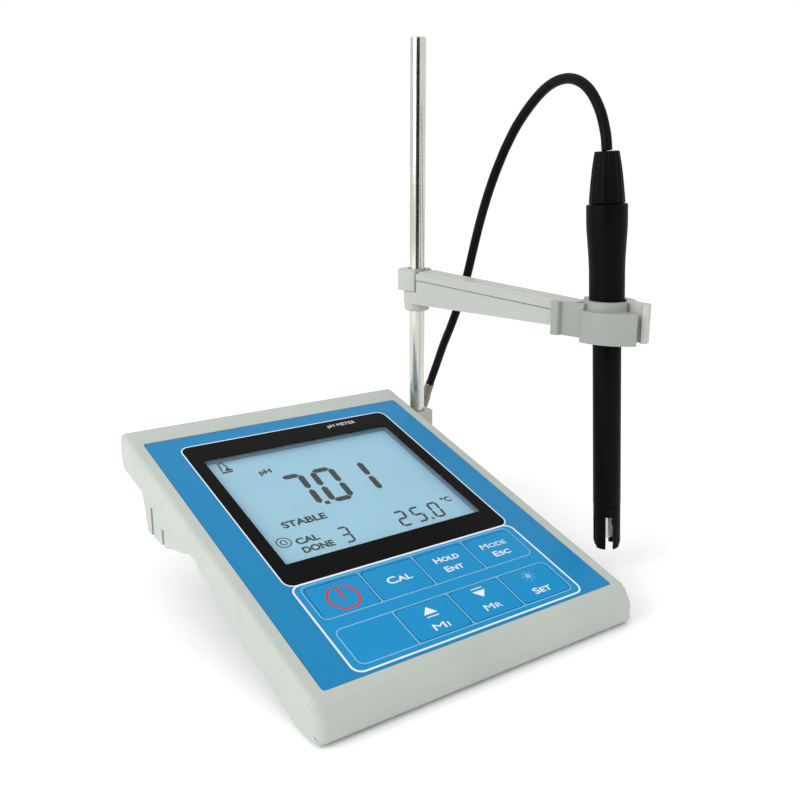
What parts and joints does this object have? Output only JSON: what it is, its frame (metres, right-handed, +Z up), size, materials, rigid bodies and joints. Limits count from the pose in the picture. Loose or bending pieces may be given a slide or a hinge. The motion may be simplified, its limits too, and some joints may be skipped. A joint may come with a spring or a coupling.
{
  "type": "benchtop ph meter",
  "caption": "Benchtop pH meter with a sloping keypad and display, and an electrode held by an adjustable stand arm, its cable plugged in at the rear.",
  "frame": {"origin": "on the table, under the centre of the box of the meter, stand and electrode, without the cable and its plug", "axes": "+Z up, -Y towards the user in front of the keys, +X to the user's right, where the stand is"},
  "size_m": [0.2055, 0.2447, 0.26],
  "materials": {
    "shell_plastic": "warm light grey moulded ABS, fine satin texture",
    "arm_plastic": "light grey moulded ABS, satin",
    "label_film": "blue printed polyester film, soft sheen",
    "key_film": "blue printed polyester film over the keys, soft sheen",
    "black_plastic": "black moulded plastic, semi-gloss",
    "cable_jacket": "black soft PVC jacket",
    "clear_plastic": "clear polished plastic or glass",
    "lcd_glass": "pale blue liquid-crystal glass with its polariser",
    "white_plastic": "white moulded plastic",
    "board_laminate": "green glass-fibre laminate",
    "polished_steel": "polished stainless steel",
    "nickel_plate": "nickel-plated brass",
    "rubber": "black rubber"
  },
  "bodies": {
    "root": {"upper_housing": "shell_plastic", "lower_housing": "shell_plastic", "foot_front_left": "rubber", "foot_front_right": "rubber", "foot_rear_left": "rubber", "foot_rear_right": "rubber", "housing_screw_1": "polished_steel", "housing_screw_2": "polished_steel", "housing_screw_3": "polished_steel", "housing_screw_4": "polished_steel", "keypad_label": "label_film", "display_frame": "black_plastic", "display_window": "clear_plastic", "lcd_glass": "lcd_glass", "backlight_panel": "white_plastic", "lcd_holder": "white_plastic", "main_board": "board_laminate", "dome_sheet": "clear_plastic", "board_standoff_1": "nickel_plate", "board_standoff_2": "nickel_plate", "board_standoff_3": "nickel_plate", "board_standoff_4": "nickel_plate", "bnc_socket": "nickel_plate", "temperature_socket": "nickel_plate", "data_socket": "black_plastic", "power_socket": "black_plastic", "stand_bracket": "shell_plastic", "bracket_screw_1": "polished_steel", "bracket_screw_2": "polished_steel", "cable_rise": "cable_jacket", "cable_sleeve": "nickel_plate", "cable_tail": "cable_jacket", "bnc_plug": "nickel_plate", "plug_boot": "black_plastic"},
    "mast": {"stand_rod": "polished_steel", "cable_arch_rear": "cable_jacket"},
    "arm": {"arm_body": "arm_plastic", "arm_cover": "arm_plastic", "rod_bush": "white_plastic", "clip_pin": "polished_steel", "lock_spring": "polished_steel"},
    "lock": {"lock_button": "arm_plastic"},
    "clip": {"clip_jaw": "arm_plastic"},
    "electrode": {"electrode_handle": "black_plastic", "strain_relief": "black_plastic", "electrode_shaft": "black_plastic", "bulb_guard": "black_plastic", "glass_bulb": "clear_plastic", "cable_arch_front": "cable_jacket"},
    "collar": {"bnc_collar": "nickel_plate"},
    "power_button": {"power_key": "key_film"},
    "cal_button": {"cal_key": "key_film"},
    "hold_button": {"hold_key": "key_film"},
    "mode_button": {"mode_key": "key_film"},
    "up_button": {"up_key": "key_film"},
    "down_button": {"down_key": "key_film"},
    "light_button": {"light_key": "key_film"}
  },
  "joints": [
    {"name": "arm_swing", "type": "hinge", "parent": "root", "child": "mast", "pos_m": [0.06805, 0.08055, 0], "axis": [0, 0, 1], "range_deg": [-10, 90], "deforming": ["cable_rise", "cable_arch_rear", "cable_arch_front"]},
    {"name": "arm_height", "type": "slide", "parent": "mast", "child": "arm", "axis": [0, 0, 1], "range_m": [-0.005, 0.1], "deforming": ["cable_rise", "cable_arch_rear", "cable_arch_front"]},
    {"name": "lock_press", "type": "slide", "parent": "arm", "child": "lock", "axis": [0.1675, -0.9859, 0], "range_m": [0, 0.0009], "stiffness_N_per_m": 800, "springref_m": -0.002},
    {"name": "clip_open", "type": "hinge", "parent": "arm", "child": "clip", "pos_m": [0.07761, -0.02889, 0.1228], "axis": [0, 0, -1], "range_deg": [0, 15], "stiffness_Nm_per_rad": 0.4, "springref_deg": -5.73},
    {"name": "electrode_slide", "type": "slide", "parent": "arm", "child": "electrode", "axis": [-0.0456, 0.0322, 0.9984], "range_m": [-0.004, 0.03], "deforming": ["cable_rise", "cable_arch_rear", "cable_arch_front"]},
    {"name": "collar_turn", "type": "hinge", "parent": "root", "child": "collar", "pos_m": [0.00725, 0.07725, 0.027], "axis": [0, 1, 0], "range_deg": [0, 90]},
    {"name": "power_press", "type": "slide", "parent": "root", "child": "power_button", "axis": [0, 0.2756, -0.9613], "range_m": [0, 0.0005], "stiffness_N_per_m": 500},
    {"name": "cal_press", "type": "slide", "parent": "root", "child": "cal_button", "axis": [0, 0.2756, -0.9613], "range_m": [0, 0.0005], "stiffness_N_per_m": 500},
    {"name": "hold_press", "type": "slide", "parent": "root", "child": "hold_button", "axis": [0, 0.2756, -0.9613], "range_m": [0, 0.0005], "stiffness_N_per_m": 500},
    {"name": "mode_press", "type": "slide", "parent": "root", "child": "mode_button", "axis": [0, 0.2756, -0.9613], "range_m": [0, 0.0005], "stiffness_N_per_m": 500},
    {"name": "up_press", "type": "slide", "parent": "root", "child": "up_button", "axis": [0, 0.2756, -0.9613], "range_m": [0, 0.0005], "stiffness_N_per_m": 500},
    {"name": "down_press", "type": "slide", "parent": "root", "child": "down_button", "axis": [0, 0.2756, -0.9613], "range_m": [0, 0.0005], "stiffness_N_per_m": 500},
    {"name": "light_press", "type": "slide", "parent": "root", "child": "light_button", "axis": [0, 0.2756, -0.9613], "range_m": [0, 0.0005], "stiffness_N_per_m": 500}
  ]
}
